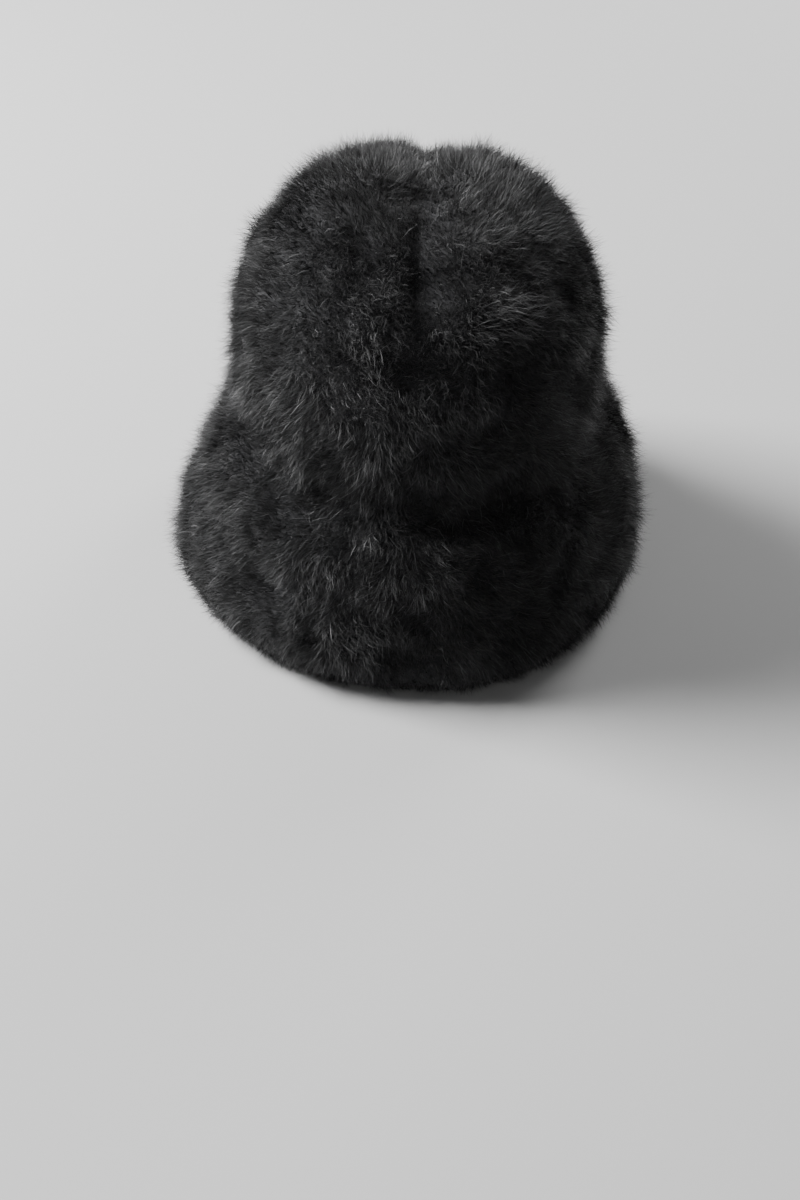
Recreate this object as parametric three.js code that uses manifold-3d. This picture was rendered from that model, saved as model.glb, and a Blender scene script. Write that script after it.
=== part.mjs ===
// A soft black angora cloche hat with a deep, drooping brim, in millimetres, standing on its rim.
// The crown is two knitted panels sewn along a seam from front to back over the top, where the cloth
// sinks into a crease. The brim is one bell-shaped ring, sewn to the crown's lower edge and left with
// soft folds. All three are hollow cloth walls whose outer face carries the locks of the pile.
// +Z is up, +X is the hat's right as seen from its front, and the front faces -Y. The origin is the
// middle of the hat's outline on the surface that it stands on.
import * as THREE from "three";
import { mergeVertices } from "three/addons/utils/BufferGeometryUtils.js";
import Module from "manifold-3d";

// The head opening, measured inside the cloth where the crown meets the brim
const HEAD_WIDTH = 163;
const HEAD_LENGTH = 191;

// The wall is knitted cloth with the packed roots of its pile outside it
const KNIT_THICKNESS = 3;
const PACKED_PILE = 1;
const WALL = KNIT_THICKNESS + PACKED_PILE;

// The locks of the pile, which stand out from the wall
const LOCK_HEIGHT = 3.5;
const LOCK_LENGTH = 25;
const LOCK_WIDTH = 18;
const SHORTEST_LOCK_SHARE = 0.55;
const LOCK_STRAY_SHARE = 0.25;

// Shares of a piece's cloth over which its locks grow from a sewn edge and shrink to the hem
const SEWN_EDGE_SHARE = 0.08;
const HEM_EDGE_SHARE = 0.12;

// The crown, above the head opening
const CROWN_HEIGHT = 115.5;
const STRAIGHT_HEIGHT = 37;
const DOME_SQUARENESS = 2.5;
const CROWN_TAPER = 3.5;

// The crease in the crown, along the seam between its two panels: a shallow trough with a sharper fold in it
const TROUGH_DEPTH = 7.5;
const TROUGH_HALF_WIDTH = 25;
const CREASE_DEPTH = 4;
const CREASE_HALF_WIDTH = 9;
const DENT_DEPTH = 4;

// The brim, below the head opening
const BRIM_DROP = 90;
const BRIM_FLARE_SIDE = 32;
const BRIM_FLARE_ENDS = 25;
const FOLD_DEPTH = 7;
const FOLD_START_SHARE = 0.16;
const HEM_THICKNESS = 6;
const HEM_ROUNDING = 1.5;

// Sewn pieces keep this gap
const SEAM_GAP = 0.3;

// The fineness of the mesh: the inner faces are plain, so between their edges they take fewer columns
const COLUMNS = 100;
const CROWN_ROWS = 22;
const BRIM_ROWS = 16;
const INNER_COLUMNS = 50;
const INNER_CROWN_ROWS = 10;
const INNER_BRIM_ROWS = 7;

// The brim's profile from the head opening to the rim: down is a share of the brim's drop, and out a
// share of its flare
const BRIM_SECTIONS = [
  { down: 0, out: 0 },
  { down: 0.07, out: 0.11 },
  { down: 0.17, out: 0.38 },
  { down: 0.35, out: 0.58 },
  { down: 0.54, out: 0.76 },
  { down: 0.72, out: 0.91 },
  { down: 0.86, out: 1 },
  { down: 1, out: 0.91 },
];

// The crease from the crown's front edge to its back edge: along is -1 at the front, 0 at the top and 1
// at the back, and deep is a share of the crease's depth
const CREASE_SECTIONS = [
  { along: -1, deep: 0 },
  { along: -0.72, deep: 0.04 },
  { along: -0.56, deep: 0.35 },
  { along: -0.36, deep: 1 },
  { along: -0.12, deep: 0.85 },
  { along: 0.15, deep: 0.55 },
  { along: 0.42, deep: 0.5 },
  { along: 0.7, deep: 0.1 },
  { along: 1, deep: 0 },
];

// Folds of the brim: turn and spread are degrees round the hat, down and reach are shares of the brim's
// drop, and out is a share of the folds' depth
const BRIM_FOLDS = [
  { turn: 32, spread: 30, down: 0.34, reach: 0.28, out: 1 },
  { turn: 75, spread: 18, down: 0.8, reach: 0.3, out: -0.4 },
  { turn: 112, spread: 18, down: 0.7, reach: 0.35, out: 0.4 },
  { turn: 150, spread: 18, down: 0.6, reach: 0.25, out: -0.35 },
  { turn: 170, spread: 34, down: 0.3, reach: 0.25, out: -0.35 },
  { turn: 200, spread: 24, down: 0.9, reach: 0.3, out: 0.4 },
  { turn: 224, spread: 17, down: 0.25, reach: 0.13, out: 0.5 },
  { turn: 227, spread: 19, down: 0.53, reach: 0.14, out: -0.6 },
  { turn: 243, spread: 17, down: 0.85, reach: 0.22, out: 0.3 },
  { turn: 267, spread: 13, down: 0.62, reach: 0.26, out: -0.35 },
  { turn: 292, spread: 15, down: 0.8, reach: 0.25, out: 0.35 },
  { turn: 316, spread: 15, down: 0.5, reach: 0.25, out: -0.3 },
  { turn: 342, spread: 26, down: 0.9, reach: 0.3, out: -0.45 },
];

// Soft dents of the crown: turn and spread are degrees round the hat, up and reach are shares of the way
// from the head opening to the top, and deep is a share of the dents' depth, below 0 where it swells out
const CROWN_DENTS = [
  { turn: 195, spread: 42, up: 0.76, reach: 0.15, deep: -1.5 },
  { turn: 236, spread: 12, up: 0.72, reach: 0.1, deep: 0.9 },
  { turn: 222, spread: 13, up: 0.48, reach: 0.11, deep: 0.7 },
  { turn: 243, spread: 14, up: 0.3, reach: 0.1, deep: 0.55 },
  { turn: 186, spread: 12, up: 0.5, reach: 0.08, deep: 0.4 },
  { turn: 296, spread: 17, up: 0.36, reach: 0.12, deep: 0.5 },
  { turn: 330, spread: 15, up: 0.6, reach: 0.1, deep: 0.55 },
  { turn: 20, spread: 18, up: 0.4, reach: 0.14, deep: 0.5 },
  { turn: 65, spread: 20, up: 0.55, reach: 0.14, deep: 0.8 },
  { turn: 122, spread: 18, up: 0.35, reach: 0.14, deep: 0.6 },
  { turn: 155, spread: 18, up: 0.62, reach: 0.12, deep: 0.7 },
];

const BASE_HALF_WIDTH = HEAD_WIDTH / 2 + WALL;
const BASE_HALF_LENGTH = HEAD_LENGTH / 2 + WALL;
const DOME_HEIGHT = CROWN_HEIGHT - STRAIGHT_HEIGHT;
const DOME_LENGTH = (Math.PI / 4) * (DOME_HEIGHT + BASE_HALF_WIDTH);
const CROWN_LENGTH = STRAIGHT_HEIGHT + DOME_LENGTH;
const BRIM_LENGTH = Math.hypot(BRIM_DROP, BRIM_FLARE_SIDE);
const FULL_TURN = 2 * Math.PI;
const { clamp, lerp, radToDeg, smoothstep } = THREE.MathUtils;

const wasm = await Module();
wasm.setup();

// A smooth hump that is 1 at its middle and fades to 0 past its half-width
function hump(distance, halfWidth) {
  return Math.exp(-((distance / halfWidth) ** 2));
}

// The shorter way round from one angle to another, in degrees
function turnBetween(a, b) {
  return ((a - b + 540) % 360) - 180;
}

// The value of a table's column where another, rising column has the given value, eased between rows
function readTable(rows, key, value, column) {
  const next = rows.findIndex((row) => row[key] >= value);
  if (next <= 0) return rows[next === 0 ? 0 : rows.length - 1][column];
  const [low, high] = [rows[next - 1], rows[next]];
  return lerp(low[column], high[column], smoothstep(value, low[key], high[key]));
}

// The sum of a table's soft dents or folds at a place: each is a hump round the hat and a hump up it
function sumHumps(rows, degrees, height, heightKey, amountKey) {
  return rows.reduce((sum, row) => {
    const around = hump(turnBetween(degrees, row.turn), row.spread);
    return sum + row[amountKey] * around * hump(height - row[heightKey], row.reach);
  }, 0);
}

// A number from 0 to 1 that looks random, but is always the same for the same row and place
function scatter(row, place) {
  const value = Math.sin(row * 12.9898 + place * 78.233) * 43758.5453;
  return value - Math.floor(value);
}

// How far a lock lies off its regular place, as a share of its own size
function stray(row, place) {
  return LOCK_STRAY_SHARE * (2 * scatter(row, place) - 1);
}

// One lock's height as a share, at a place given in lock lengths from its root and lock widths from its
// middle: it swells slowly from its root and ends short and round, a little past the next lock's root
function lockShape(along, across) {
  const swell = smoothstep(along, -0.15, 0.75) * (1 - smoothstep(along, 0.85, 1.25));
  const halfWidth = 0.62;
  return swell * Math.max(1 - (across / halfWidth) ** 2, 0);
}

// How far the locks stand out at a place, as a share. They hang in staggered rows round the hat, and a row
// of the dome has as many as its own girth takes. down is measured from the top of the crown or brim
function lockRelief(turn, down, radiusAt) {
  const heights = [];
  const nearestRow = Math.floor(down / LOCK_LENGTH);
  for (const row of [nearestRow - 1, nearestRow, nearestRow + 1]) {
    const girth = FULL_TURN * radiusAt((row + 0.5) * LOCK_LENGTH);
    const count = Math.max(Math.round(girth / LOCK_WIDTH), 1);
    const position = (turn / FULL_TURN) * count + scatter(row, 0.5);
    for (const step of [-1, 0, 1]) {
      const lock = Math.round(position) + step;
      const place = ((lock % count) + count) % count;
      const along = down / LOCK_LENGTH - row - stray(row, place + 1);
      const across = position - lock - stray(row, place + 2);
      heights.push(lockShape(along, across) * lerp(SHORTEST_LOCK_SHARE, 1, scatter(row, place + 3)));
    }
  }
  return Math.max(...heights);
}

// A closed mesh through a closed loop of rings. Neighbouring rings may have different numbers of points,
// and a ring of one point is a pole
function loft(rings) {
  const starts = [];
  const positions = [];
  for (const ring of rings) {
    starts.push(positions.length / 3);
    ring.forEach((point) => positions.push(point.x, point.y, point.z));
  }
  const index = [];
  rings.forEach((ring, r) => {
    const s = (r + 1) % rings.length;
    const at = (k) => starts[r] + (k % ring.length);
    const nextAt = (k) => starts[s] + (k % rings[s].length);
    const steps = ring.length > 1 ? ring.length : 0;
    const nextSteps = rings[s].length > 1 ? rings[s].length : 0;
    let [i, j] = [0, 0];
    while (i < steps || j < nextSteps) {
      const ownStep = j === nextSteps || (i < steps && (i + 1) * nextSteps <= (j + 1) * steps);
      index.push(at(i), ownStep ? at(i + 1) : nextAt(j + 1), nextAt(j));
      if (ownStep) i += 1;
      else j += 1;
    }
  });
  const geometry = new THREE.BufferGeometry();
  geometry.setAttribute("position", new THREE.Float32BufferAttribute(positions, 3));
  geometry.setIndex(index);
  return geometry;
}

// A closed geometry as a manifold-3d solid
function solidFrom(geometry) {
  const bare = geometry.clone();
  bare.deleteAttribute("normal");
  bare.deleteAttribute("uv");
  const merged = mergeVertices(bare, 1e-4);
  return new wasm.Manifold(
    new wasm.Mesh({
      numProp: 3,
      vertProperties: merged.attributes.position.array,
      triVerts: new Uint32Array(merged.index.array),
    }),
  );
}

// A manifold-3d solid as a geometry
function geometryFrom(solid) {
  const mesh = solid.getMesh();
  const positions = new Float32Array(mesh.numVert * 3);
  for (let i = 0; i < mesh.numVert; i++) {
    positions.set(mesh.vertProperties.subarray(i * mesh.numProp, i * mesh.numProp + 3), i * 3);
  }
  const geometry = new THREE.BufferGeometry();
  geometry.setAttribute("position", new THREE.BufferAttribute(positions, 3));
  geometry.setIndex(new THREE.BufferAttribute(new Uint32Array(mesh.triVerts), 1));
  geometry.computeVertexNormals();
  return geometry;
}

// The turns of a ring's columns, set off by half a column so that none lies on the crown's seam
function columnTurns(columns) {
  return Array.from({ length: columns }, (_, k) => (FULL_TURN * (k + 0.5)) / columns);
}

// The undented crown at a share of the way up its surface: its height above the head opening, and its
// width as a share of the width there. inset is how far the face lies inside the wall's outer face
function crownSection(climb, inset) {
  const wallShare = STRAIGHT_HEIGHT / CROWN_LENGTH;
  const straight = clamp(climb / wallShare, 0, 1);
  const quarter = (clamp((climb - wallShare) / (1 - wallShare), 0, 1) * Math.PI) / 2;
  const rise = Math.sin(quarter) ** (2 / DOME_SQUARENESS);
  const narrowing = 1 - (CROWN_TAPER / BASE_HALF_WIDTH) * rise;
  return {
    height: STRAIGHT_HEIGHT * straight + (DOME_HEIGHT - inset) * rise,
    wide: narrowing * Math.max(Math.cos(quarter), 0) ** (2 / DOME_SQUARENESS),
  };
}

// How far the crown's cloth sinks in at a place of its undented shape
function crownSink(turn, climb, point) {
  const deep = readTable(CREASE_SECTIONS, "along", Math.sign(point.y) * (1 - climb), "deep");
  const trough = TROUGH_DEPTH * hump(point.x, TROUGH_HALF_WIDTH);
  const crease = CREASE_DEPTH * hump(point.x, CREASE_HALF_WIDTH);
  const dents = DENT_DEPTH * sumHumps(CROWN_DENTS, radToDeg(turn), climb, "up", "deep");
  return deep * (trough + crease) + dents;
}

// The radius of the crown where a row of its locks hangs, down its surface from the top
function crownRadius(down) {
  return BASE_HALF_WIDTH * Math.sin((clamp(down / DOME_LENGTH, 0, 1) * Math.PI) / 2);
}

// A point of the crown's face, drawn in by inset and pushed out by locks
function crownPoint(turn, climb, inset, locks) {
  const section = crownSection(climb, inset);
  const point = new THREE.Vector3(
    (BASE_HALF_WIDTH - inset) * section.wide * Math.cos(turn),
    (BASE_HALF_LENGTH - inset) * section.wide * Math.sin(turn),
    section.height,
  );
  const outwards = new THREE.Vector3(point.x, point.y, 0);
  outwards.z = Math.max(section.height - STRAIGHT_HEIGHT, 0) * (BASE_HALF_WIDTH / DOME_HEIGHT);
  outwards.normalize();
  point.addScaledVector(outwards, locks - crownSink(turn, climb, point));
  point.z += BRIM_DROP + SEAM_GAP / 2;
  return point;
}

// The whole crown as one shell: outer rings up to the top, then inner rings down again
function crownShell() {
  const rings = [];
  for (let row = 0; row < CROWN_ROWS; row++) {
    const climb = row / CROWN_ROWS;
    const standing = LOCK_HEIGHT * smoothstep(climb, 0, SEWN_EDGE_SHARE);
    rings.push(columnTurns(COLUMNS).map((turn) => {
      const locks = standing * lockRelief(turn, (1 - climb) * CROWN_LENGTH, crownRadius);
      return crownPoint(turn, climb, 0, locks);
    }));
  }
  rings.push([crownPoint(0, 1, 0, LOCK_HEIGHT / 2)]);
  rings.push([crownPoint(0, 1, WALL, 0)]);
  for (let row = INNER_CROWN_ROWS - 1; row >= 0; row--) {
    const turns = columnTurns(row > 0 ? INNER_COLUMNS : COLUMNS);
    rings.push(turns.map((turn) => crownPoint(turn, row / INNER_CROWN_ROWS, WALL, 0)));
  }
  return solidFrom(loft(rings));
}

// One of the crown's two panels: what lies on one side of the seam, clear of it by half the gap
function crownPanel(shell, side) {
  const reach = 2 * (CROWN_HEIGHT + BRIM_DROP + HEAD_LENGTH);
  const half = new THREE.BoxGeometry(reach, reach, reach);
  half.translate(side * (reach / 2 + SEAM_GAP / 2), 0, 0);
  return geometryFrom(shell.intersect(solidFrom(half)));
}

// The brim's profile, which gives its flare as x and its drop as y, both as shares
const brimProfile = new THREE.SplineCurve(BRIM_SECTIONS.map((row) => new THREE.Vector2(row.out, row.down)));

// A ring round the brim at a share of the way down its surface. standing is how far its locks stand out,
// and inset is how far it is drawn in
function brimRing(columns, way, standing, inset) {
  const section = brimProfile.getPointAt(way);
  const loose = smoothstep(section.y, 0, FOLD_START_SHARE);
  return columnTurns(columns).map((turn) => {
    const folds = FOLD_DEPTH * sumHumps(BRIM_FOLDS, radToDeg(turn), section.y, "down", "out");
    const locks = standing * lockRelief(turn, way * BRIM_LENGTH, () => BASE_HALF_WIDTH + BRIM_FLARE_SIDE);
    const shift = loose * folds + locks - inset;
    return new THREE.Vector3(
      (BASE_HALF_WIDTH + BRIM_FLARE_SIDE * section.x + shift) * Math.cos(turn),
      (BASE_HALF_LENGTH + BRIM_FLARE_ENDS * section.x + shift) * Math.sin(turn),
      (BRIM_DROP - SEAM_GAP / 2) * (1 - section.y),
    );
  });
}

// The brim's wall measured level, which is more than its thickness where the brim slopes
function levelWall(way) {
  const tangent = brimProfile.getTangentAt(way);
  const rise = Math.abs(tangent.y) * BRIM_DROP;
  const slope = Math.hypot(rise, tangent.x * BRIM_FLARE_SIDE) / rise;
  const thickness = lerp(WALL, HEM_THICKNESS, smoothstep(way, 1 - HEM_EDGE_SHARE, 1));
  return thickness * lerp(1, slope, smoothstep(way, 0, SEWN_EDGE_SHARE));
}

// The brim: inner rings down to the rim, the flat hem that it stands on, and outer rings up again
function brimGeometry() {
  const hemStart = 1 - HEM_ROUNDING / BRIM_LENGTH;
  const rings = [];
  for (let row = 0; row <= INNER_BRIM_ROWS; row++) {
    const way = (hemStart * row) / INNER_BRIM_ROWS;
    const plain = row > 0 && row < INNER_BRIM_ROWS;
    rings.push(brimRing(plain ? INNER_COLUMNS : COLUMNS, way, 0, levelWall(way)));
  }
  rings.push(brimRing(COLUMNS, 1, 0, HEM_THICKNESS - HEM_ROUNDING));
  rings.push(brimRing(COLUMNS, 1, 0, HEM_ROUNDING));
  for (let row = BRIM_ROWS; row >= 0; row--) {
    const way = (hemStart * row) / BRIM_ROWS;
    const grown = smoothstep(way, 0, SEWN_EDGE_SHARE) * (1 - smoothstep(way, 1 - HEM_EDGE_SHARE, 1));
    rings.push(brimRing(COLUMNS, way, LOCK_HEIGHT * grown, 0));
  }
  return geometryFrom(solidFrom(loft(rings)));
}

// A named mesh of black angora
function angoraMesh(name, geometry) {
  const angora = new THREE.MeshStandardMaterial({ color: 0x1b1b1e, roughness: 0.95, metalness: 0 });
  const mesh = new THREE.Mesh(geometry, angora);
  mesh.name = name;
  return mesh;
}

const crown = crownShell();
const hat = new THREE.Group();
hat.add(angoraMesh("crown_left_panel", crownPanel(crown, -1)));
hat.add(angoraMesh("crown_right_panel", crownPanel(crown, 1)));
hat.add(angoraMesh("brim", brimGeometry()));

// The origin goes to the middle of the outline, and the rim to height 0
const outline = new THREE.Box3().setFromObject(hat);
const middle = outline.getCenter(new THREE.Vector3());
hat.position.set(-middle.x, -middle.y, -outline.min.z);

export default hat;
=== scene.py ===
import math

import bmesh
import bpy
import numpy as np
from mathutils import Matrix, Vector
from mathutils.bvhtree import BVHTree
from mathutils.kdtree import KDTree


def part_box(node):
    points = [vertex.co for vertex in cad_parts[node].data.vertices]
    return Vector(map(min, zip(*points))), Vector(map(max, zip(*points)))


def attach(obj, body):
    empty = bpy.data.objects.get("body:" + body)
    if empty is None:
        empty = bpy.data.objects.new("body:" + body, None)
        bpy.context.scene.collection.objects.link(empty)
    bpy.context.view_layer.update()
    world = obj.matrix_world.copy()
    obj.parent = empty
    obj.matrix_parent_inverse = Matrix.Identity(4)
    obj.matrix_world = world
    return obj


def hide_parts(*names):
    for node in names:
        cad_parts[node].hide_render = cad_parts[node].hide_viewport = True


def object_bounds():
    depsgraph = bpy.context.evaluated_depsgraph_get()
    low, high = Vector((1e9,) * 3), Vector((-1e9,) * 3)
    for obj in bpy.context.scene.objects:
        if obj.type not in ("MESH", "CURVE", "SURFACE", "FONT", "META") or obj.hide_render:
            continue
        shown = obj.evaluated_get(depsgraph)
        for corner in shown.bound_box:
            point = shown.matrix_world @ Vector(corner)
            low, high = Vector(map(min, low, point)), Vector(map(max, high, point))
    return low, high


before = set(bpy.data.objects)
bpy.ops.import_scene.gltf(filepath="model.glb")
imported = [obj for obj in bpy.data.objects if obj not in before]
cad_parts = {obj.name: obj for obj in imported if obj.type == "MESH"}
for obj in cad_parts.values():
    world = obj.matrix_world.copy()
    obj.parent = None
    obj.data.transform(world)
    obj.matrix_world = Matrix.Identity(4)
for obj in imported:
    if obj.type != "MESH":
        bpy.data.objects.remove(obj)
cad_low, cad_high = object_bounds()

# The photo's frame in pixels, and the place in it of the middle of the hat's rim
PHOTO_WIDTH = 800
PHOTO_HEIGHT = 1200
RIM_PIXEL_X = 410.5
RIM_PIXEL_Y = 533.2

# The camera that took it: the hat leans a little to the right in its frame
LENS_MM = 50
SENSOR_MM = 36
CAMERA_DISTANCE = 0.8975
CAMERA_ELEVATION = math.radians(38)
CAMERA_ROLL = math.radians(2.1)

# The lamps: the place of each in metres, its size across in metres and its power in watts
LAMPS = {
    "key": ((-1.45, 0.35, 1.3), 0.9, 168),
    "fill": ((-0.3, -1.5, 1.2), 1.2, 1),
    "back": ((1.1, 1.5, 0.8), 0.8, 42),
}
WORLD_COLOUR = (0.95, 0.96, 0.98, 1)
WORLD_STRENGTH = 0.04

# The studio: a round floor that curves up into a wall
FLOOR_RADIUS = 1.9
FLOOR_SIDES = 96
FLOOR_COLOUR = (0.4, 0.4, 0.4, 1)
WALL_CURVE = 1.0
WALL_CURVE_STEPS = 12
WALL_HEIGHT = 2.6

# The hat's own axis, which stands where the crown's seam and the middle of its length meet
AXIS_X = (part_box("crown_left_panel")[1].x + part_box("crown_right_panel")[0].x) / 2
AXIS_Y = (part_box("crown_left_panel")[0].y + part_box("crown_left_panel")[1].y) / 2
CROWN_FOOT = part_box("crown_left_panel")[0].z
SEAM_HEIGHT = (CROWN_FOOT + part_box("brim")[1].z) / 2
HAT_TOP = cad_high.z

# The pelt's grid: its step, and the height of the point that the rays through the dome fan out from
PELT_STEP = 0.0025
DOME_CENTRE_HEIGHT = CROWN_FOOT + 0.037

# Rays keep a clearance from the seams and the hem. The points that they find within reach of one are
# moved up to it, so that the pelts all but touch at the seams and the brim stands on the floor
RAY_CLEARANCE = 0.0003
SEAM_REACH = 1.5 * RAY_CLEARANCE
SEAM_CLEARANCE = 0.000003
FAR_OUTSIDE = 0.3

# The purl stitches inside: their depth, and how it differs between every second one along a row
STITCH_DEPTH = 0.00035
STITCH_MEAN = 0.65
STITCH_SWING = 0.35

# Faces of a pelt that meet at more than this angle have a sharp edge between them
SHARP_ANGLE = math.radians(60)

# A face of the solids is an outer one where its normal and the way out from the axis agree this well
FACING_OUT = 0.15

# The pile's three coats. Lengths and widths are in metres, and leans in degrees from upright, at the
# root and the tip. Stray and lean_stray spread the ways and the leans, also in degrees. Pull is how far
# a strand goes over to the middle of its tuft, and growth above 1 makes most strands short. The
# colours are those of the root, darkened as painted shade deep in the pile, of the tip, greyed as
# painted light, and of the few hairs painted pale as glints
COATS = {
    "undercoat": {
        "strands": 54_000, "segments": 2, "shortest": 0.0035, "longest": 0.0065, "width": 0.00046,
        "root_lean": 20, "tip_lean": 66, "lean_stray": 10, "stray": 60, "pull": 0.3, "growth": 1.4,
        "material": "black_angora_down",
        "colours": ((0.001, 0.001, 0.001), (0.01, 0.01, 0.01), (0.025, 0.025, 0.025)),
    },
    "fur": {
        "strands": 140_000, "segments": 2, "shortest": 0.005, "longest": 0.0135, "width": 0.0002,
        "root_lean": 20, "tip_lean": 64, "lean_stray": 17, "stray": 52, "pull": 0.4, "growth": 1.4,
        "material": "black_angora_hair",
        "colours": ((0.002, 0.002, 0.002), (0.042, 0.042, 0.043), (0.16, 0.16, 0.163)),
    },
    "loose_hairs": {
        "strands": 100_000, "segments": 2, "shortest": 0.006, "longest": 0.0138, "width": 0.00009,
        "root_lean": 4, "tip_lean": 34, "lean_stray": 20, "stray": 90, "pull": 0.0, "growth": 0.9,
        "material": "black_angora_wisps",
        # Painted light: the loose hairs are coloured paler than the fur, as the glow of light through
        # backlit fuzz
        "colours": ((0.004, 0.004, 0.004), (0.09, 0.09, 0.092), (0.2, 0.2, 0.204)),
    },
}
WIDTH_RANGE = (0.6, 1.3)

# Each strand is a ribbon: how much narrower it gets towards its tip, and how that grows along it
TAPER = 0.75
TAPER_GROWTH = 1.5

# The pile follows the cloth's broad form. Small dents and the crease are evened out over this radius,
# from so many samples of the whole cloth
EVEN_SAMPLES = 10_000
EVEN_RADIUS = 0.015

# Combing: the pile points down and a little outwards, and strays in broad and small waves, in degrees
COMB_OUTWARDS = 0.2
BROAD_WAVE_TURN = 75
BROAD_WAVE_SIZE = 0.045
SMALL_WAVE_TURN = 45
SMALL_WAVE_SIZE = 0.015

# The parting along the crown's crease, which begins between two heights. The comb is how strongly the
# pile is turned away from it, the calm by how much the waves get weaker, and the cut by how much the
# pile gets shorter. Each fades out to the sides over its width
PARTING_LOW = 0.14
PARTING_HIGH = 0.175
PARTING_COMB = 0.15
PARTING_CALM = 0.6
PARTING_COMB_WIDTH = 0.02
PARTING_CUT = 0.5
PARTING_CUT_WIDTH = 0.007

# Below this height the pile gets shorter towards the hem, down to this share of its length
HEM_HEIGHT = 0.02
HEM_SHARE = 0.6

# Small tufts: how many there are, how their ways stray, in degrees, and how their lengths differ
SMALL_TUFTS = 7_000
TUFT_STRAY = 22
TUFT_LENGTHS = (0.75, 1.05)

# How the pull to a small tuft's middle differs between strands, and how it grows towards the tip
PULL_RANGE = (0.5, 1.3)
PULL_GROWTH = 1.3

# Large tufts: how many there are, how far each reaches into the next, and how lengths swell in their
# middle, fall off to their edge and stray over a distance, within a least and a most
LARGE_TUFTS = 800
LARGE_TUFT_OVERLAP = 1.3
SWELL_MIDDLE = 1.1
SWELL_FALL = 0.5
SWELL_STRAY = 0.2
SWELL_STRAY_SIZE = 0.014
SWELL_RANGE = (0.4, 1.2)

# Strands that bend down stay this high over the floor, and those with a lower root hardly sink at all
FLOOR_CLEARANCE = 0.0007
LEAST_DROP = 1e-5

# The darker and greyer patches of the pile: their place in the noise, shifted so that a lighter patch
# lies as painted light on the crown's upper left, where the key lamp falls, and how strong they are
PAINTED_LIGHT_PATCH_SHIFT = (0.35, 0.1, 0.2)
PATCH_RANGE = {"From Min": 0.35, "From Max": 0.65, "To Min": 0.65, "To Max": 1.35}

# Painted glints: the share of all hairs that are coloured pale as if catching the light, and how pale
# they get
GLINT_HAIR_SHARE = 0.045
GLINT_MIX = 0.75

# The cell that each strand has in the baked map: its shape, and its margins at the sides and the ends
BAKE_CELL_SHAPE = 1.25
BAKE_SIDE_MARGIN = 0.15
BAKE_END_MARGIN = 0.1

# Smooth noise: how many waves it is the sum of, and how their lengths compare with the size asked for
NOISE_WAVES = 20
NOISE_LENGTHS = (0.9, 2.2)

SEED = 11


def unit(vectors):
    """The vectors at length 1."""
    lengths = np.linalg.norm(vectors, axis=-1, keepdims=True)
    return vectors / np.maximum(lengths, 1e-12)


def dot(a, b):
    """The dot product of each pair of vectors, kept as a column."""
    return (a * b).sum(-1, keepdims=True)


def ease(values, low, high):
    """0 below low and 1 above high, with a smooth rise between."""
    share = np.clip((values - low) / (high - low), 0, 1)
    return share * share * (3 - 2 * share)


def soft_noise(points, size, seed):
    """A smooth random value at each point, mostly from -1 to 1, that changes over the given size."""
    rng = np.random.default_rng(seed)
    directions = unit(rng.normal(size=(NOISE_WAVES, 3)))
    lengths = size * rng.uniform(*NOISE_LENGTHS, (NOISE_WAVES, 1))
    phases = rng.uniform(0, 2 * math.pi, NOISE_WAVES)
    angles = points @ (2 * math.pi * directions / lengths).T + phases
    return np.sin(angles).sum(1, keepdims=True) / math.sqrt(NOISE_WAVES)


def turned(vectors, axes, angles):
    """The vectors turned about axes that are square to them, by angles in degrees."""
    radians = np.radians(angles)
    return vectors * np.cos(radians) + np.cross(axes, vectors) * np.sin(radians)


def make_camera():
    """The camera at the photo's angle, aimed so that the rim lies where the photo has it."""
    towards = Vector((0, math.cos(CAMERA_ELEVATION), -math.sin(CAMERA_ELEVATION)))
    level_right = Vector((1, 0, 0))
    level_up = Vector((0, math.sin(CAMERA_ELEVATION), math.cos(CAMERA_ELEVATION)))
    right = level_right * math.cos(CAMERA_ROLL) + level_up * math.sin(CAMERA_ROLL)
    up = level_up * math.cos(CAMERA_ROLL) - level_right * math.sin(CAMERA_ROLL)
    facing_rim = Matrix((right, up, -towards)).transposed().to_quaternion()
    pixels_per_unit = LENS_MM / SENSOR_MM * PHOTO_HEIGHT
    rim_seen = Vector((
        (RIM_PIXEL_X - PHOTO_WIDTH / 2) / pixels_per_unit,
        (PHOTO_HEIGHT / 2 - RIM_PIXEL_Y) / pixels_per_unit,
        -1,
    ))
    lens = bpy.data.cameras.new("camera")
    lens.lens = LENS_MM
    lens.sensor_width = SENSOR_MM
    camera = bpy.data.objects.new("camera", lens)
    camera.location = Vector((AXIS_X, AXIS_Y, 0)) - towards * CAMERA_DISTANCE
    camera.rotation_mode = "QUATERNION"
    camera.rotation_quaternion = facing_rim @ rim_seen.rotation_difference(Vector((0, 0, -1)))
    bpy.context.scene.collection.objects.link(camera)
    bpy.context.scene.camera = camera


def make_light(name, place, size, power):
    """A soft square white lamp that faces the hat."""
    lamp = bpy.data.lights.new(name, "AREA")
    lamp.size = size
    lamp.energy = power
    light = bpy.data.objects.new(name, lamp)
    light.visible_camera = False
    light.location = place
    towards = Vector((0, 0, HAT_TOP / 2)) - light.location
    light.rotation_mode = "QUATERNION"
    light.rotation_quaternion = towards.to_track_quat("-Z", "Y")
    bpy.context.scene.collection.objects.link(light)


def make_world():
    """Plain pale light from all round."""
    world = bpy.data.worlds.new("studio")
    world.use_nodes = True
    background = world.node_tree.nodes["Background"]
    background.inputs["Color"].default_value = WORLD_COLOUR
    background.inputs["Strength"].default_value = WORLD_STRENGTH
    bpy.context.scene.world = world


def new_material(name):
    """A material, its node tree and the node of its surface."""
    material = bpy.data.materials.new(name)
    material.use_nodes = True
    tree = material.node_tree
    return material, tree, tree.nodes["Principled BSDF"]


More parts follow.
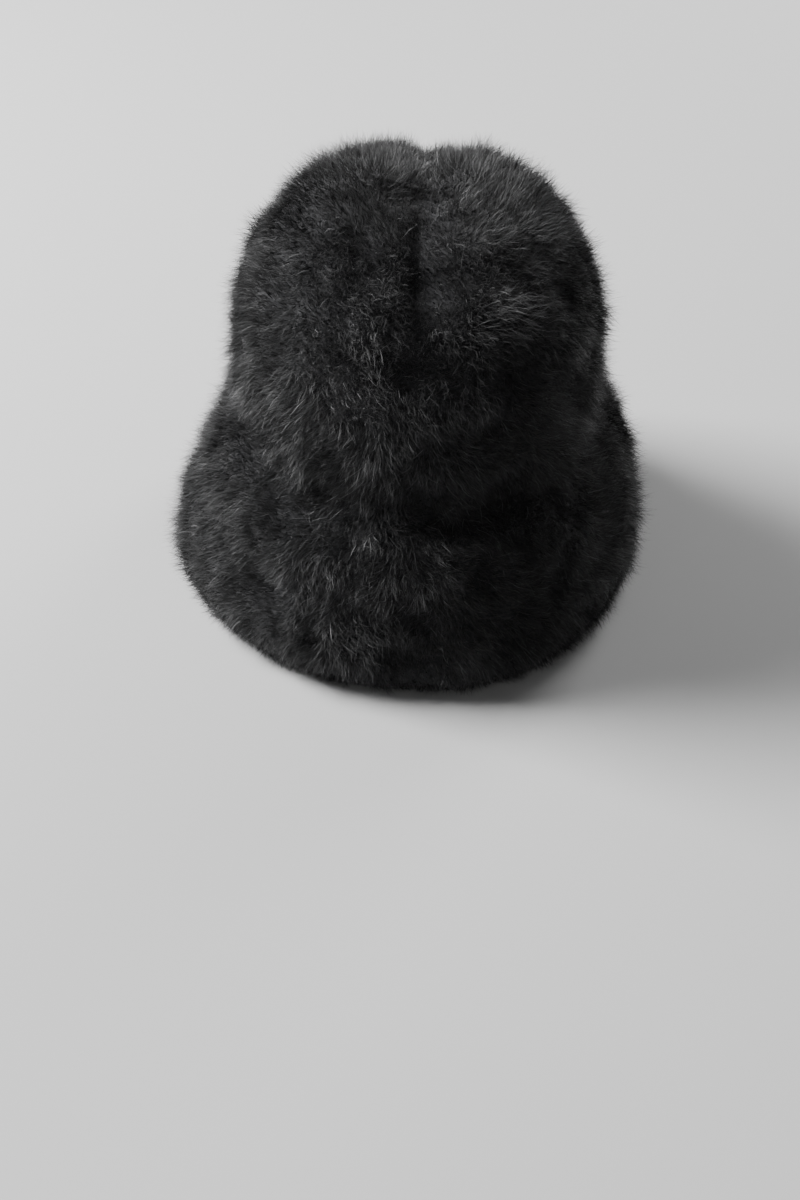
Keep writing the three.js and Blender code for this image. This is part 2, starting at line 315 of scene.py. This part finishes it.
def set_inputs(node, inputs):
    """Sets a shader node's inputs by their names."""
    for name, value in inputs.items():
        node.inputs[name].default_value = value


def add_node(tree, kind, inputs):
    """A shader node with these inputs set."""
    node = tree.nodes.new(kind)
    set_inputs(node, inputs)
    return node


def add_ramp(tree, low, high):
    """A colour ramp between two stops, each given by its place and its colour."""
    node = tree.nodes.new("ShaderNodeValToRGB")
    for stop, (place, colour) in zip(node.color_ramp.elements, (low, high)):
        stop.position = place
        stop.color = (*colour, 1)
    return node


def make_floor():
    """A pale floor under the hat, which curves up into a round wall far behind it on every side."""
    profile = [(0, 0), (FLOOR_RADIUS, 0)]
    for step in range(1, WALL_CURVE_STEPS + 1):
        turn = math.pi / 2 * step / WALL_CURVE_STEPS
        profile.append((
            FLOOR_RADIUS + WALL_CURVE * math.sin(turn),
            WALL_CURVE * (1 - math.cos(turn)),
        ))
    profile.append((FLOOR_RADIUS + WALL_CURVE, WALL_HEIGHT))
    points = []
    faces = []
    for row, (radius, height) in enumerate(profile):
        for side in range(FLOOR_SIDES):
            turn = 2 * math.pi * side / FLOOR_SIDES
            points.append((radius * math.cos(turn), radius * math.sin(turn), height))
            after = (side + 1) % FLOOR_SIDES
            if row > 0:
                above = row * FLOOR_SIDES
                below = above - FLOOR_SIDES
                faces.append((below + side, below + after, above + after, above + side))
    mesh = bpy.data.meshes.new("floor")
    mesh.from_pydata(points, [], faces)
    mesh.polygons.foreach_set("use_smooth", np.ones(len(faces), dtype=bool))
    material, _, surface = new_material("floor")
    set_inputs(surface, {"Base Color": FLOOR_COLOUR, "Roughness": 0.85, "Specular IOR Level": 0.2})
    mesh.materials.append(material)
    floor = bpy.data.objects.new("floor", mesh)
    bpy.context.scene.collection.objects.link(floor)


def hair_material(name, painted_root_shade, painted_tip_light, glint_colour):
    """Black angora hair: dark at the root as painted shade, greyer at the tip as painted light, with
    patches placed so that a lighter one is painted light where the key lamp falls, and a few hairs
    painted pale as glints.
    """
    material, tree, surface = new_material(name)
    link = tree.links.new
    set_inputs(surface, {"Roughness": 0.6, "Specular IOR Level": 0.3})

    strand = tree.nodes.new("ShaderNodeUVMap")
    strand.uv_map = "strand"
    parts = tree.nodes.new("ShaderNodeSeparateXYZ")
    link(strand.outputs["UV"], parts.inputs["Vector"])
    # Painted shade darkens the root as if deep in the pile, and painted light greys the tip
    along = add_ramp(tree, (0.15, painted_root_shade), (0.95, painted_tip_light))
    link(parts.outputs["Y"], along.inputs["Fac"])

    # Painted glints: a few hairs, picked at random, turn pale as if catching the light
    glinting_hairs = add_ramp(tree, (0, (0, 0, 0)), (1 - GLINT_HAIR_SHARE, (GLINT_MIX, GLINT_MIX, GLINT_MIX)))
    glinting_hairs.color_ramp.interpolation = "CONSTANT"
    link(parts.outputs["X"], glinting_hairs.inputs["Fac"])
    with_glints = tree.nodes.new("ShaderNodeMix")
    with_glints.data_type = "RGBA"
    with_glints.inputs["B"].default_value = (*glint_colour, 1)
    link(glinting_hairs.outputs["Color"], with_glints.inputs["Factor"])
    link(along.outputs["Color"], with_glints.inputs["A"])

    # The noise is shifted so that a lighter patch, painted light, lies where the key lamp falls on the
    # crown
    place = tree.nodes.new("ShaderNodeTexCoord")
    shifted = tree.nodes.new("ShaderNodeVectorMath")
    shifted.inputs[1].default_value = PAINTED_LIGHT_PATCH_SHIFT
    link(place.outputs["Object"], shifted.inputs[0])
    patches = add_node(tree, "ShaderNodeTexNoise", {"Scale": 38, "Detail": 2, "Roughness": 0.6})
    link(shifted.outputs["Vector"], patches.inputs["Vector"])
    spread = add_node(tree, "ShaderNodeMapRange", PATCH_RANGE)
    link(patches.outputs["Fac"], spread.inputs["Value"])
    shade = tree.nodes.new("ShaderNodeVectorMath")
    shade.operation = "SCALE"
    link(with_glints.outputs["Result"], shade.inputs["Vector"])
    link(spread.outputs["Result"], shade.inputs["Scale"])
    link(shade.outputs["Vector"], surface.inputs["Base Color"])
    return material


def pelt_material():
    """The knitted ground: matt black wool with soft blotches and fine fibres."""
    material, tree, surface = new_material("black_angora_knit")
    link = tree.links.new
    set_inputs(surface, {"Specular IOR Level": 0.25, "Sheen Weight": 0.25, "Sheen Roughness": 0.5})
    place = tree.nodes.new("ShaderNodeTexCoord")

    blotches = add_node(tree, "ShaderNodeTexNoise", {"Scale": 90, "Detail": 4, "Roughness": 0.65})
    link(place.outputs["Object"], blotches.inputs["Vector"])
    colours = add_ramp(tree, (0.3, (0.004, 0.004, 0.005)), (0.75, (0.016, 0.016, 0.018)))
    link(blotches.outputs["Fac"], colours.inputs["Fac"])
    link(colours.outputs["Color"], surface.inputs["Base Color"])

    fibres = add_node(tree, "ShaderNodeTexNoise", {"Scale": 900, "Detail": 3, "Roughness": 0.7})
    link(place.outputs["Object"], fibres.inputs["Vector"])
    rough = add_node(tree, "ShaderNodeMapRange", {"To Min": 0.82, "To Max": 1})
    link(fibres.outputs["Fac"], rough.inputs["Value"])
    link(rough.outputs["Result"], surface.inputs["Roughness"])
    bump = add_node(tree, "ShaderNodeBump", {"Strength": 0.5, "Distance": 0.0006})
    link(fibres.outputs["Fac"], bump.inputs["Height"])
    link(bump.outputs["Normal"], surface.inputs["Normal"])
    return material


def read_triangles(node):
    """A node's points, with doubled ones joined, and its triangles."""
    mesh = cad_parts[node].data
    mesh.calc_loop_triangles()
    points = np.empty(len(mesh.vertices) * 3)
    mesh.vertices.foreach_get("co", points)
    corners = np.empty(len(mesh.loop_triangles) * 3, dtype=np.int64)
    mesh.loop_triangles.foreach_get("vertices", corners)
    micrometres = np.round(points.reshape(-1, 3) * 1e6).astype(np.int64)
    joined, places = np.unique(micrometres, axis=0, return_inverse=True)
    return joined / 1e6, places.reshape(-1)[corners].reshape(-1, 3)


def inner_points(points):
    """For each point, the point of the hat's axis that it looks out from."""
    heights = np.minimum(points[:, 2], DOME_CENTRE_HEIGHT)
    return np.column_stack([np.full(len(points), AXIS_X), np.full(len(points), AXIS_Y), heights])


def outer_cloth(nodes):
    """The outer faces of the nodes: their corners, their smooth normals and their areas."""
    corners = []
    normals = []
    for node in nodes:
        points, triangles = read_triangles(node)
        a, b, c = (points[triangles[:, k]] for k in range(3))
        crossed = np.cross(b - a, c - a)
        centres = (a + b + c) / 3
        outer = dot(unit(crossed), unit(centres - inner_points(centres)))[:, 0] > FACING_OUT
        triangles = triangles[outer]
        smooth = np.zeros_like(points)
        for k in range(3):
            np.add.at(smooth, triangles[:, k], crossed[outer])
        corners.append(points[triangles])
        normals.append(unit(smooth)[triangles])
    corners = np.concatenate(corners)
    normals = np.concatenate(normals)
    edges = np.cross(corners[:, 1] - corners[:, 0], corners[:, 2] - corners[:, 0])
    return corners, normals, np.linalg.norm(edges, axis=1) / 2


def scatter_roots(cloth, count, rng):
    """Points spread evenly over the cloth, with the cloth's own normals there."""
    corners, normals, areas = cloth
    shares = np.cumsum(areas) / areas.sum()
    picked = np.searchsorted(shares, (np.arange(count) + rng.random(count)) / count)
    picked = np.minimum(picked, len(areas) - 1)
    first = np.sqrt(rng.random((count, 1)))
    second = rng.random((count, 1))
    weights = np.stack([1 - first, first * (1 - second), first * second], axis=1)
    roots = (corners[picked] * weights).sum(1)
    return roots, unit((normals[picked] * weights).sum(1))


def tree_of(points):
    """A search tree over the points."""
    tree = KDTree(len(points))
    for index, point in enumerate(points):
        tree.insert(point, index)
    tree.balance()
    return tree


def nearest(tree, points):
    """For each point, the index of the nearest one in the tree and its distance."""
    found = [tree.find(point)[1:] for point in points]
    indices, distances = zip(*found)
    return np.array(indices), np.array(distances)[:, None]


def even_normals(cloth, rng):
    """Samples of the cloth as a search tree, each with the mean normal of the cloth round it."""
    points, normals = scatter_roots(cloth, EVEN_SAMPLES, rng)
    tree = tree_of(points)
    means = np.empty_like(normals)
    for index, point in enumerate(points):
        around = [found[1] for found in tree.find_range(point, EVEN_RADIUS)]
        means[index] = normals[around].sum(0)
    return tree, unit(means)


def on_even_form(roots, even):
    """For each root, the normal of the cloth's evened form."""
    tree, means = even
    return means[nearest(tree, roots)[0]]


def near_parting(roots, half_width):
    """How near each root is to the crease where the crown's panels meet, from 0 to 1."""
    beside = (roots[:, :1] - AXIS_X) / half_width
    return np.exp(-(beside ** 2)) * ease(roots[:, 2:], PARTING_LOW, PARTING_HIGH)


def combed(roots, normals):
    """The way that the pile is combed at each root: down the hat, straying in broad waves and small
    ones, but away from the crease on either side of it."""
    down = np.array([0, 0, -1.0]) + COMB_OUTWARDS * unit(roots - inner_points(roots))
    near_crease = near_parting(roots, PARTING_COMB_WIDTH)
    from_crease = np.tanh((roots[:, :1] - AXIS_X) / PARTING_COMB_WIDTH)
    down[:, :1] += PARTING_COMB * from_crease * near_crease
    flat = unit(down - normals * dot(down, normals))
    broad = BROAD_WAVE_TURN * soft_noise(roots, BROAD_WAVE_SIZE, SEED + 1)
    small = SMALL_WAVE_TURN * soft_noise(roots, SMALL_WAVE_SIZE, SEED + 2)
    return turned(flat, normals, (broad + small) * (1 - PARTING_CALM * near_crease))


def strand_lengths(roots, tufts, coat, rng):
    """Each strand's length: most in the middle of a large tuft, less near the crease and the hem."""
    _, from_middle = nearest(tufts["large_tree"], roots)
    swell = SWELL_MIDDLE - SWELL_FALL * np.clip(from_middle / tufts["large_radius"], 0, 1) ** 2
    swell *= 1 + SWELL_STRAY * soft_noise(roots, SWELL_STRAY_SIZE, SEED + 3)
    growth = rng.random((len(roots), 1)) ** coat["growth"]
    lengths = coat["shortest"] + (coat["longest"] - coat["shortest"]) * growth
    lengths *= np.clip(swell, *SWELL_RANGE)
    lengths *= 1 - PARTING_CUT * near_parting(roots, PARTING_CUT_WIDTH)
    lengths *= HEM_SHARE + (1 - HEM_SHARE) * ease(roots[:, 2:], 0, HEM_HEIGHT)
    return lengths


def strand_paths(roots, normals, ways, lengths, coat, lean_strays=0):
    """The points of each strand from root to tip: it rises from the cloth and bends over its way."""
    segments = coat["segments"]
    points = [roots]
    for step in range(segments):
        share = (step + 0.5) / segments
        lean = coat["root_lean"] + (coat["tip_lean"] - coat["root_lean"]) * share + lean_strays
        heading = normals * np.cos(np.radians(lean)) + ways * np.sin(np.radians(lean))
        points.append(points[-1] + heading * lengths / segments)
    return np.stack(points, axis=1)


def gathered(paths, roots, lengths, tufts, coat, rng):
    """The strands, each drawn over towards the middle of its small tuft, most at its tip."""
    own, _ = nearest(tufts["tree"], roots)
    guides = strand_paths(
        tufts["roots"][own],
        tufts["normals"][own],
        tufts["ways"][own],
        tufts["lengths"][own] * lengths,
        coat,
    )
    shares = np.linspace(0, 1, paths.shape[1])[None, :, None]
    pulls = coat["pull"] * rng.uniform(*PULL_RANGE, (len(roots), 1, 1)) * shares ** PULL_GROWTH
    return paths + (guides - paths) * np.clip(pulls, 0, 1)


def keep_off_floor(paths):
    """Bends strands that would reach the floor so that they only come near it."""
    room = np.maximum(paths[:, :1, 2] - FLOOR_CLEARANCE, LEAST_DROP)
    drop = paths[:, :1, 2] - paths[:, :, 2]
    eased = np.where(drop > 0, room * (1 - np.exp(-np.maximum(drop, 0) / room)), drop)
    paths[:, :, 2] = paths[:, :1, 2] - eased


def ribbons(paths, normals, widths, rng):
    """The corners of each strand as a flat ribbon that tapers to a point, rolled at random."""
    headings = unit(np.diff(paths, axis=1))
    rolls = rng.uniform(-90, 90, (len(paths), 1))
    faces = turned(normals, headings[:, 0], rolls)
    sides = unit(np.cross(headings, faces[:, None, :]))
    steps = headings.shape[1]
    shares = np.arange(steps) / steps
    half_widths = widths[:, None, :] / 2 * (1 - TAPER * shares[None, :, None] ** TAPER_GROWTH)
    left = paths[:, :-1] - sides * half_widths
    right = paths[:, :-1] + sides * half_widths
    edges = np.stack([left, right], axis=2).reshape(len(paths), steps * 2, 3)
    return np.concatenate([edges, paths[:, -1:]], axis=1)


def ribbon_faces(steps):
    """The triangles of one ribbon of so many steps."""
    faces = []
    for k in range(steps - 1):
        faces.append((2 * k, 2 * k + 1, 2 * k + 3))
        faces.append((2 * k, 2 * k + 3, 2 * k + 2))
    faces.append((2 * steps - 2, 2 * steps - 1, 2 * steps))
    return np.array(faces)


def triangle_mesh(name, points, faces):
    """A smooth mesh of triangles from arrays."""
    mesh = bpy.data.meshes.new(name)
    mesh.vertices.add(len(points))
    mesh.vertices.foreach_set("co", points.astype(np.float32).ravel())
    mesh.loops.add(faces.size)
    mesh.loops.foreach_set("vertex_index", faces.astype(np.int32).ravel())
    mesh.polygons.add(len(faces))
    mesh.polygons.foreach_set("loop_start", np.arange(0, faces.size, 3, dtype=np.int32))
    mesh.polygons.foreach_set("use_smooth", np.ones(len(faces), dtype=bool))
    mesh.update(calc_edges=True)
    return mesh


def strand_mesh(name, corners, steps, rng):
    """Joins the ribbons into one mesh. Its map "strand" holds a random number and the way along each
    strand, and in its map "OFBake" each strand has a cell of its own."""
    count = len(corners)
    per_strand = 2 * steps + 1
    starts = np.arange(count) * per_strand
    faces = (ribbon_faces(steps)[None] + starts[:, None, None]).reshape(-1, 3)
    mesh = triangle_mesh(name, corners.reshape(-1, 3), faces)

    along = np.append(np.repeat(np.arange(steps) / steps, 2), 1.0)
    strand = np.empty((count, per_strand, 2))
    strand[:, :, 0] = rng.random((count, 1))
    strand[:, :, 1] = along

    columns = math.ceil(math.sqrt(count * BAKE_CELL_SHAPE))
    rows = math.ceil(count / columns)
    cells = np.arange(count)[:, None]
    across_cell = np.append(np.tile([BAKE_SIDE_MARGIN, 1 - BAKE_SIDE_MARGIN], steps), 0.5)
    along_cell = BAKE_END_MARGIN + (1 - 2 * BAKE_END_MARGIN) * along
    baked = np.empty((count, per_strand, 2))
    baked[:, :, 0] = (cells % columns + across_cell) / columns
    baked[:, :, 1] = (cells // columns + along_cell) / rows
    for map_name, values in (("strand", strand), ("OFBake", baked)):
        layer = mesh.uv_layers.new(name=map_name)
        layer.data.foreach_set("uv", values.reshape(-1, 2)[faces.ravel()].astype(np.float32).ravel())
    return mesh


def add_piece(mesh, name, material):
    """A piece of the hat with this mesh and material, in the hat's one body."""
    mesh.materials.append(material)
    piece = bpy.data.objects.new(name, mesh)
    bpy.context.scene.collection.objects.link(piece)
    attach(piece, "root")
    return piece


def comb_coat(name, roots, normals, tufts, coat, material, rng):
    """One coat of strands on some roots, gathered into the hat's tufts."""
    count = len(roots)
    ways = combed(roots, normals)
    ways = turned(ways, normals, rng.normal(0, coat["stray"], (count, 1)))
    lengths = strand_lengths(roots, tufts, coat, rng)
    lean_strays = rng.normal(0, coat["lean_stray"], (count, 1))
    paths = strand_paths(roots, normals, ways, lengths, coat, lean_strays)
    if coat["pull"] > 0:
        paths = gathered(paths, roots, lengths, tufts, coat, rng)
    keep_off_floor(paths)
    widths = coat["width"] * rng.uniform(*WIDTH_RANGE, (count, 1))
    corners = ribbons(paths, normals, widths, rng)
    corners[:, :, 2] = np.maximum(corners[:, :, 2], 0)
    add_piece(strand_mesh(name, corners, coat["segments"], rng), name, material)


def make_tufts(cloth, even, rng):
    """The middles of the small tufts, with what their strands follow, and of the large ones."""
    roots, _ = scatter_roots(cloth, SMALL_TUFTS, rng)
    normals = on_even_form(roots, even)
    ways = combed(roots, normals)
    ways = turned(ways, normals, rng.normal(0, TUFT_STRAY, (SMALL_TUFTS, 1)))
    lengths = rng.uniform(*TUFT_LENGTHS, (SMALL_TUFTS, 1))
    large_roots, _ = scatter_roots(cloth, LARGE_TUFTS, rng)
    large_radius = math.sqrt(cloth[2].sum() / LARGE_TUFTS / math.pi) * LARGE_TUFT_OVERLAP
    return {
        "roots": roots,
        "normals": normals,
        "ways": ways,
        "lengths": lengths,
        "tree": tree_of(roots),
        "large_tree": tree_of(large_roots),
        "large_radius": large_radius,
    }


def make_pile():
    """All coats of the pile, each in pieces that follow the hat's own."""
    rng = np.random.default_rng(SEED)
    whole = outer_cloth(["crown_left_panel", "crown_right_panel", "brim"])
    even = even_normals(whole, rng)
    tufts = make_tufts(whole, even, rng)
    for coat_name, coat in COATS.items():
        material = hair_material(coat["material"], *coat["colours"])
        roots, _ = scatter_roots(whole, coat["strands"], rng)
        normals = on_even_form(roots, even)
        left = roots[:, 0] < AXIS_X
        crown = roots[:, 2] > CROWN_FOOT
        if coat_name == "loose_hairs":
            regions = {"crown_": crown, "brim_": ~crown}
        else:
            regions = {
                "crown_left_": crown & left,
                "crown_right_": crown & ~left,
                "brim_left_": ~crown & left,
                "brim_right_": ~crown & ~left,
            }
        for region, chosen in regions.items():
            comb_coat(region + coat_name, roots[chosen], normals[chosen], tufts, coat, material, rng)


def bvh_of(node):
    """A ray caster for one node."""
    points, triangles = read_triangles(node)
    return BVHTree.FromPolygons([tuple(p) for p in points], [tuple(t) for t in triangles.tolist()])


def cast_both(caster, origin, direction):
    """Where the cloth's inner and outer faces lie on a ray that leaves the hat."""
    inner = caster.ray_cast(origin, direction)[0]
    outer = caster.ray_cast(origin + direction * FAR_OUTSIDE, -direction)[0]
    return inner, outer


def place_at_seams(point):
    """The point, moved onto a seam or the hem where it lies within reach of one."""
    if point.z > CROWN_FOOT and abs(point.x - AXIS_X) < SEAM_REACH:
        point.x = AXIS_X + math.copysign(SEAM_CLEARANCE, point.x - AXIS_X)
    if abs(point.z - SEAM_HEIGHT) < SEAM_REACH:
        point.z = SEAM_HEIGHT + math.copysign(SEAM_CLEARANCE, point.z - SEAM_HEIGHT)
    if point.z < SEAM_REACH:
        point.z = 0
    return point


def pelt_grids(shape, caster, rays):
    """The inner and outer points of a pelt, in rows of rays. The inner ones carry the purl stitches,
    one ridge for every second row."""
    inner = []
    outer = []
    for row, ray_row in enumerate(rays):
        inner_row = []
        outer_row = []
        for column, (origin, direction) in enumerate(ray_row):
            inner_place, outer_place = cast_both(caster, origin, direction)
            stitch = STITCH_DEPTH * (-1) ** row * (STITCH_MEAN + STITCH_SWING * (-1) ** column)
            inner_row.append(shape.verts.new(place_at_seams(inner_place - direction * stitch)))
            outer_row.append(shape.verts.new(place_at_seams(outer_place)))
        inner.append(inner_row)
        outer.append(outer_row)
    return inner, outer


def free_edges(rows, columns, wraps):
    """The rows and columns of the points round each free edge of a pelt's grid. A grid that wraps is
    a ring with two edges. Any other has one edge, because its last row is a single point."""
    first_row = [(0, column) for column in range(columns)]
    if wraps:
        last_row = [(rows - 1, column) for column in range(columns - 1, -1, -1)]
        return [first_row + first_row[:1], last_row + last_row[:1]]
    side_up = [(row, columns - 1) for row in range(1, rows)]
    side_down = [(row, 0) for row in range(rows - 1, -1, -1)]
    return [first_row + side_up + side_down]


def pelt_from_rays(name, caster, rays, wraps):
    """A closed pelt from rows of rays: an inner and an outer grid, joined along their edges."""
    shape = bmesh.new()
    inner, outer = pelt_grids(shape, caster, rays)
    rows = len(rays)
    columns = len(rays[0])
    for row in range(rows - 1):
        for column in range(columns if wraps else columns - 1):
            after = (column + 1) % columns
            shape.faces.new((
                outer[row][column], outer[row][after], outer[row + 1][after], outer[row + 1][column],
            ))
            shape.faces.new((
                inner[row][column], inner[row + 1][column], inner[row + 1][after], inner[row][after],
            ))
    for edge in free_edges(rows, columns, wraps):
        for (r0, c0), (r1, c1) in zip(edge, edge[1:]):
            shape.faces.new((outer[r1][c1], outer[r0][c0], inner[r0][c0], inner[r1][c1]))
    bmesh.ops.remove_doubles(shape, verts=shape.verts, dist=1e-6)
    bmesh.ops.triangulate(shape, faces=shape.faces)
    mesh = bpy.data.meshes.new(name)
    shape.to_mesh(mesh)
    shape.free()
    mesh.polygons.foreach_set("use_smooth", np.ones(len(mesh.polygons), dtype=bool))
    mesh.set_sharp_from_angle(angle=SHARP_ANGLE)
    return mesh


def ray_out(x, height, turn, climb=0):
    """A ray out from the hat's middle: where it starts and where it points."""
    direction = Vector((
        math.cos(turn) * math.cos(climb),
        math.sin(turn) * math.cos(climb),
        math.sin(climb),
    ))
    return Vector((x, AXIS_Y, height)), direction


def crown_rays(side):
    """Rows of rays through one crown panel, from its lower edge up to its top."""
    x = AXIS_X + side * RAY_CLEARANCE
    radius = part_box("crown_right_panel")[1].x - AXIS_X
    columns = 2 * round(math.pi * radius / PELT_STEP / 2)
    middle_turn = 0 if side > 0 else math.pi
    turns = [middle_turn + math.pi * (column / columns - 0.5) for column in range(columns + 1)]
    foot = SEAM_HEIGHT + RAY_CLEARANCE
    wall_rows = round((DOME_CENTRE_HEIGHT - foot) / PELT_STEP)
    dome_rows = round(math.pi / 2 * radius / PELT_STEP)
    rays = []
    for row in range(wall_rows):
        height = foot + (DOME_CENTRE_HEIGHT - foot) * row / wall_rows
        rays.append([ray_out(x, height, turn) for turn in turns])
    for row in range(dome_rows + 1):
        climb = math.pi / 2 * row / dome_rows
        rays.append([ray_out(x, DOME_CENTRE_HEIGHT, turn, climb) for turn in turns])
    return rays


def brim_rays():
    """Rows of level rays through the brim, from its hem up to the crown."""
    low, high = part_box("brim")
    columns = 2 * round(math.pi * (high.x - low.x) / 2 / PELT_STEP)
    turns = [2 * math.pi * column / columns for column in range(columns)]
    lowest = low.z + RAY_CLEARANCE
    highest = SEAM_HEIGHT - RAY_CLEARANCE
    rows = round((highest - lowest) / PELT_STEP)
    heights = [lowest + (highest - lowest) * row / rows for row in range(rows + 1)]
    return [[ray_out(AXIS_X, height, turn) for turn in turns] for height in heights]


def make_pelts():
    """The knitted cloth of each piece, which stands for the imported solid."""
    material = pelt_material()
    jobs = {
        "crown_left_panel": ("crown_left_pelt", crown_rays(-1), False),
        "crown_right_panel": ("crown_right_pelt", crown_rays(1), False),
        "brim": ("brim_pelt", brim_rays(), True),
    }
    for node, (name, rays, wraps) in jobs.items():
        mesh = pelt_from_rays(name, bvh_of(node), rays, wraps)
        pelt = add_piece(mesh, name, material)
        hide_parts(node)


make_camera()
make_world()
make_floor()
for lamp_name, (lamp_place, lamp_size, lamp_power) in LAMPS.items():
    make_light(lamp_name, lamp_place, lamp_size, lamp_power)
make_pelts()
make_pile()
